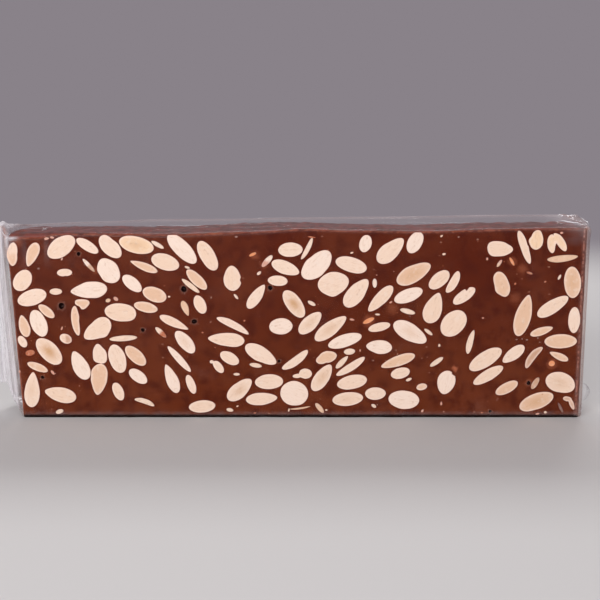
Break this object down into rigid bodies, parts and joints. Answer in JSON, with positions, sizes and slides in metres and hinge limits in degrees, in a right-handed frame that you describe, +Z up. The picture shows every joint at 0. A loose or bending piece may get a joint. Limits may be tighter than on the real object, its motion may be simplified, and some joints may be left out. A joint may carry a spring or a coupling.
{
  "type": "nougat bar",
  "caption": "Block of dark chocolate nougat with whole almonds cut through in one broad face, standing on its long narrow side in a clear film wrap.",
  "frame": {"origin": "middle of the bounding box's underside, on the surface the bar stands on", "axes": "+X along the bar, +Y from the cut face to the back, +Z up; the cut face looks towards -Y"},
  "size_m": [0.3252, 0.042, 0.1075],
  "materials": {
    "nougat": "satin",
    "almond": "matte",
    "film": "clear gloss"
  },
  "bodies": {
    "root": {"nougat": "nougat", "almond_01": "almond", "almond_02": "almond", "almond_03": "almond", "almond_04": "almond", "almond_05": "almond", "almond_06": "almond", "almond_07": "almond", "almond_08": "almond", "almond_09": "almond", "almond_10": "almond", "almond_11": "almond", "almond_12": "almond", "almond_13": "almond", "almond_14": "almond", "almond_15": "almond", "almond_16": "almond", "almond_17": "almond", "almond_18": "almond", "almond_19": "almond", "almond_20": "almond", "almond_21": "almond", "almond_22": "almond", "almond_23": "almond", "almond_24": "almond", "almond_25": "almond", "almond_26": "almond", "almond_27": "almond", "almond_28": "almond", "almond_29": "almond", "almond_30": "almond", "almond_31": "almond", "almond_32": "almond", "almond_33": "almond", "almond_34": "almond", "almond_35": "almond", "almond_36": "almond", "almond_37": "almond", "almond_38": "almond", "almond_39": "almond", "almond_40": "almond", "almond_41": "almond", "almond_42": "almond", "almond_43": "almond", "almond_44": "almond", "almond_45": "almond", "almond_46": "almond", "almond_47": "almond", "almond_48": "almond", "almond_49": "almond", "almond_50": "almond", "almond_51": "almond", "almond_52": "almond", "almond_53": "almond", "almond_54": "almond", "almond_55": "almond", "almond_56": "almond", "almond_57": "almond", "film_wrap": "film"}
  },
  "joints": []
}
